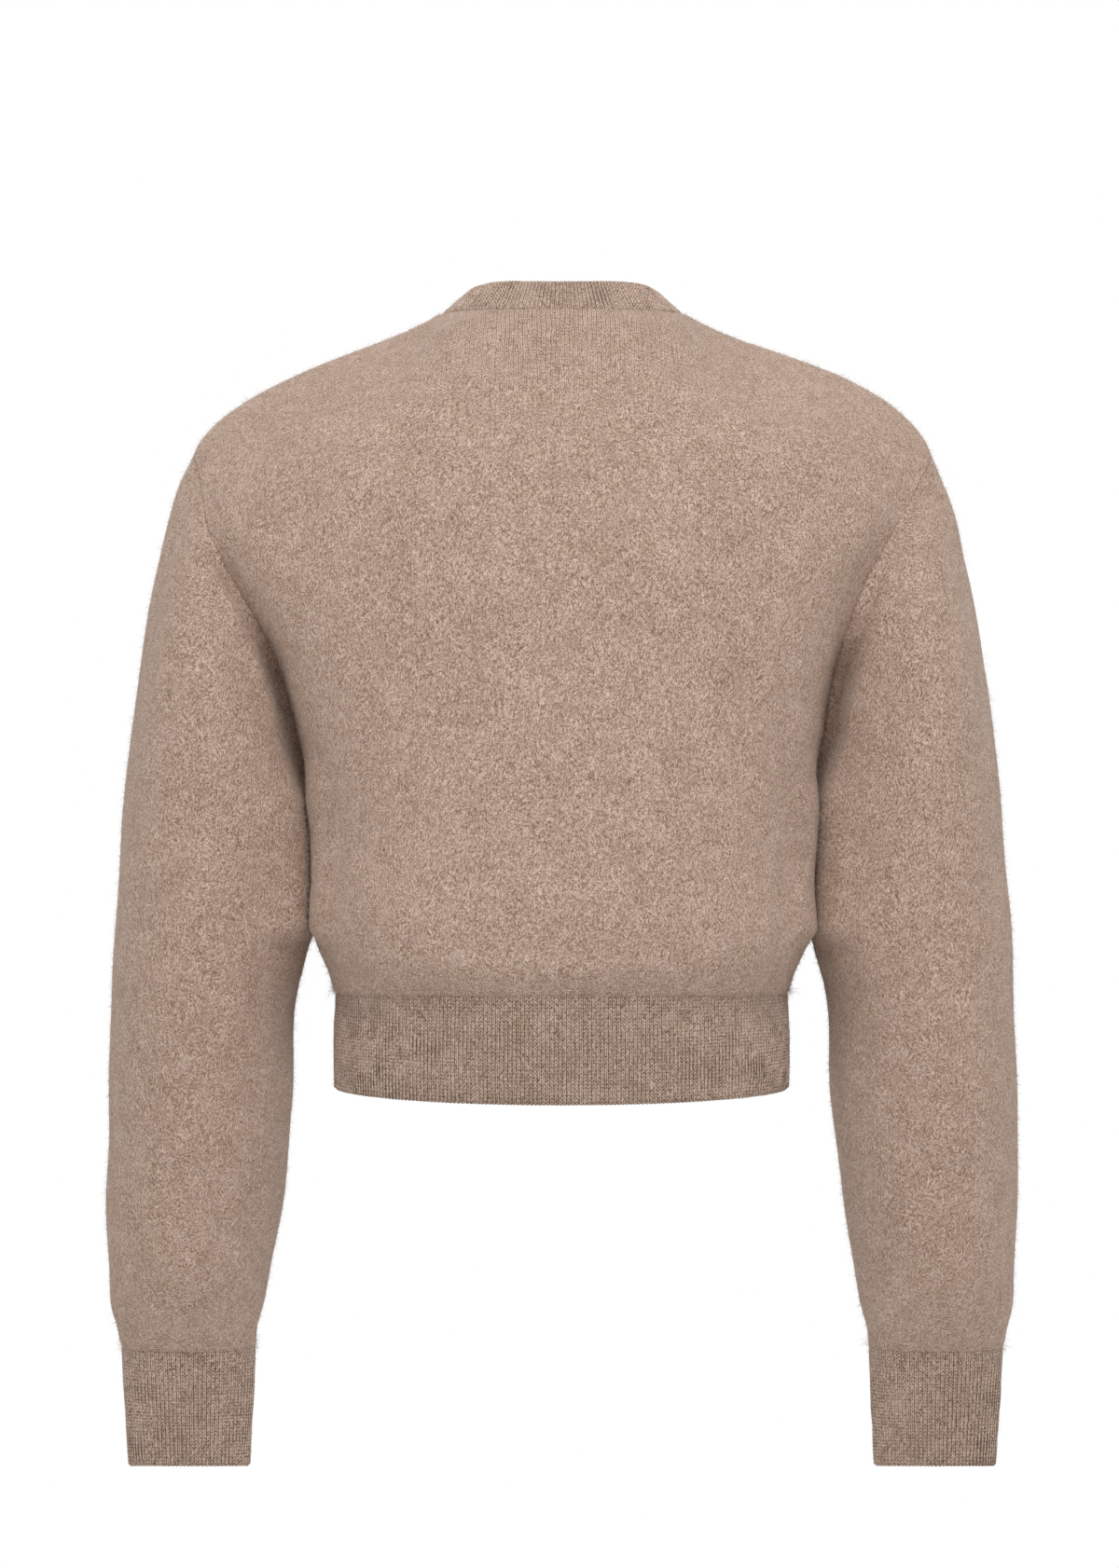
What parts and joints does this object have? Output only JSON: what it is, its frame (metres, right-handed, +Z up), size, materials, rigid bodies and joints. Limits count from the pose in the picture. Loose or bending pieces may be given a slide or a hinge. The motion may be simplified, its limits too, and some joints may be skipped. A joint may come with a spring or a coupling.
{
  "type": "cardigan",
  "caption": "Cropped buttoned knit cardigan in its worn, hollow form, with full sleeves and ribbed neckband, cuffs, hem and button bands.",
  "frame": {"origin": "midway between the two side neck points, where the garment hangs on its wearer's shoulders", "axes": "+Z up, -Y out of the buttoned front, +X to the wearer's left"},
  "size_m": [0.5326, 0.2312, 0.6873],
  "materials": {
    "jersey": "brushed plain knit, taupe melange",
    "ribbing": "one by one rib knit, taupe melange",
    "button": "satin horn-look resin"
  },
  "bodies": {
    "root": {"back": "jersey", "front_left": "jersey", "front_right": "jersey", "sleeve_left": "jersey", "sleeve_right": "jersey", "cuff_left": "ribbing", "cuff_right": "ribbing", "hem_back": "ribbing", "hem_front_left": "ribbing", "hem_front_right": "ribbing", "neckband": "ribbing", "band_over": "ribbing", "band_under": "ribbing", "button_1": "button", "button_2": "button", "button_3": "button", "button_4": "button", "button_5": "button", "button_6": "button"}
  },
  "joints": []
}
